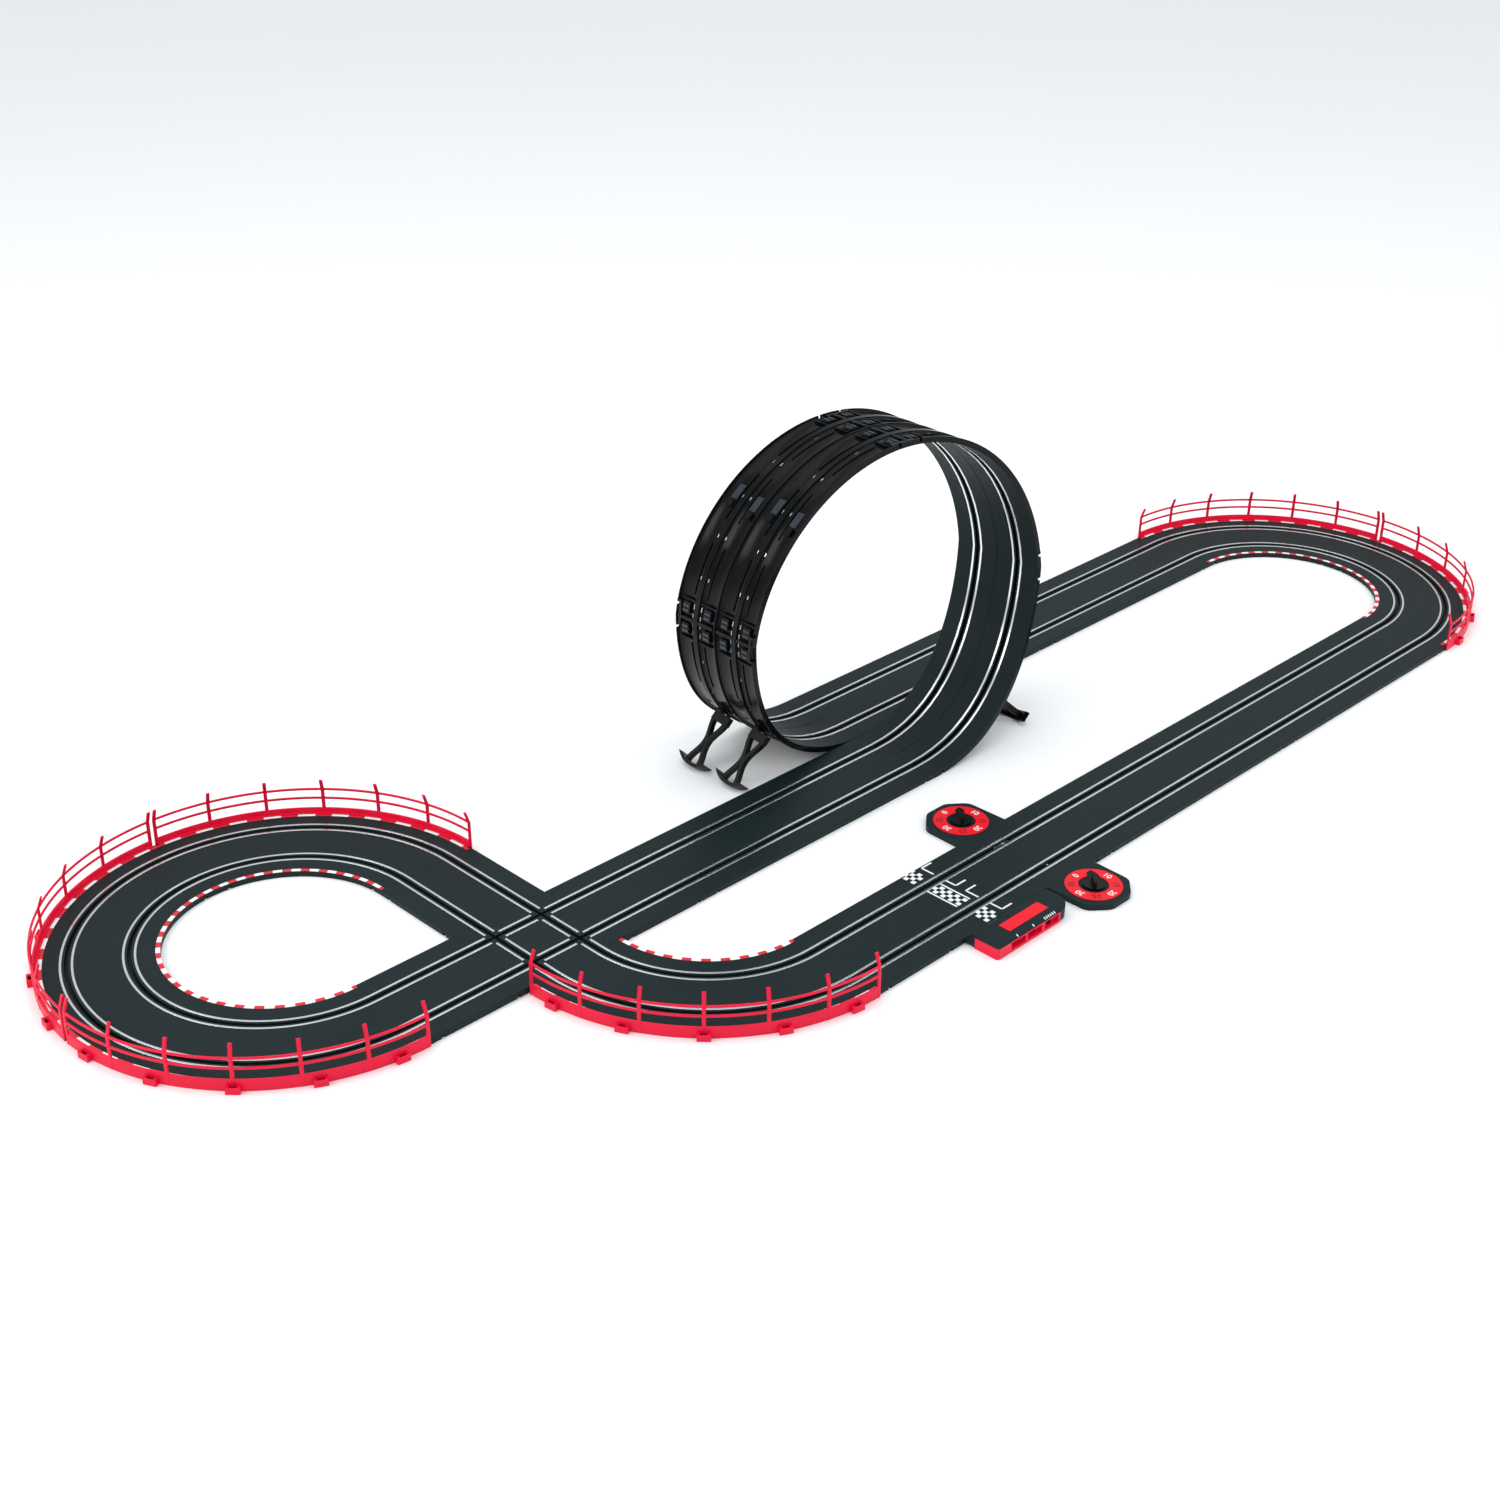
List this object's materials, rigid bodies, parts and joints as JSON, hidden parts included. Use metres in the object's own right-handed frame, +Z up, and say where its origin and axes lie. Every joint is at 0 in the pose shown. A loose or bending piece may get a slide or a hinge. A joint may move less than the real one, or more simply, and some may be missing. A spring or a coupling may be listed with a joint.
{
  "type": "slot car track set",
  "caption": "Figure-eight slot car circuit with a vertical loop, red crash fences on the curves, a power base and a two-lane lap counter.",
  "frame": {"origin": "on the table, under the middle of the set's outline, cords and cars not included", "axes": "+X along the long straights from the figure-eight end to the far curve, +Y from the power base side to the back, +Z up"},
  "size_m": [1.8354, 0.7536, 0.373],
  "materials": {
    "track_black": "fine-grained moulded, matt",
    "gloss_black": "moulded, half gloss",
    "fence_red": "moulded, half gloss",
    "socket_red": "moulded, half gloss",
    "label_red": "printed film",
    "ring_red": "printed film on card",
    "rail_steel": "rolled steel strip, bright",
    "screw_steel": "zinc plated",
    "contact_brass": "bright",
    "board_green": "solder mask",
    "natural_acetal": "moulded, satin"
  },
  "bodies": {
    "track_set": {"crossing": "track_black", "left_arm_straight": "track_black", "left_curve_1": "track_black", "left_curve_2": "track_black", "left_curve_3": "track_black", "back_arm_straight": "track_black", "near_curve": "track_black", "front_short_straight": "track_black", "power_straight": "track_black", "counter_straight": "track_black", "front_straight_1": "track_black", "front_straight_2": "track_black", "far_curve_1": "track_black", "far_curve_2": "track_black", "entry_short_straight": "track_black", "entry_straight": "track_black", "loop_ramp_up": "track_black", "loop_upper_1": "track_black", "loop_upper_2": "track_black", "loop_ramp_down": "track_black", "exit_straight_1": "track_black", "exit_straight_2": "track_black", "crossing_rails": "rail_steel", "left_rails": "rail_steel", "front_rails": "rail_steel", "far_rails": "rail_steel", "entry_rails": "rail_steel", "loop_rails": "rail_steel", "exit_rails": "rail_steel", "left_fence_1": "fence_red", "left_fence_2": "fence_red", "left_fence_3": "fence_red", "near_fence": "fence_red", "far_fence_1": "fence_red", "far_fence_2": "fence_red", "loop_support_1": "gloss_black", "loop_support_2": "gloss_black", "loop_support_3": "gloss_black", "loop_support_4": "gloss_black", "joint_clips": "gloss_black", "base_cover": "track_black", "socket_block": "socket_red", "base_floor": "gloss_black", "circuit_board": "board_green", "socket_pins": "contact_brass", "power_jack": "gloss_black", "feed_contacts": "contact_brass", "base_label": "label_red", "screws": "screw_steel", "number_ring_back": "ring_red", "number_ring_front": "ring_red", "lever_springs": "screw_steel", "counter_covers": "gloss_black"},
    "dial_back": {"pointer_back": "gloss_black", "ratchet_back": "natural_acetal"},
    "dial_front": {"pointer_front": "gloss_black", "ratchet_front": "natural_acetal"},
    "lever_back": {"trip_lever_back": "natural_acetal"},
    "lever_front": {"trip_lever_front": "natural_acetal"}
  },
  "joints": [
    {"name": "dial_back_turn", "type": "hinge", "parent": "track_set", "child": "dial_back", "pos_m": [-0.057, -0.16984, 0.0065], "axis": [0, 0, 1], "continuous": true},
    {"name": "dial_front_turn", "type": "hinge", "parent": "track_set", "child": "dial_front", "pos_m": [-0.057, -0.34184, 0.0065], "axis": [0, 0, 1], "continuous": true},
    {"name": "lever_back_trip", "type": "hinge", "parent": "track_set", "child": "lever_back", "pos_m": [-0.057, -0.20434, 0.003], "axis": [0, 0, 1], "range_deg": [-25, 0], "stiffness_Nm_per_rad": 0.001},
    {"name": "lever_front_trip", "type": "hinge", "parent": "track_set", "child": "lever_front", "pos_m": [-0.057, -0.30734, 0.003], "axis": [0, 0, 1], "range_deg": [0, 25], "stiffness_Nm_per_rad": 0.001}
  ]
}
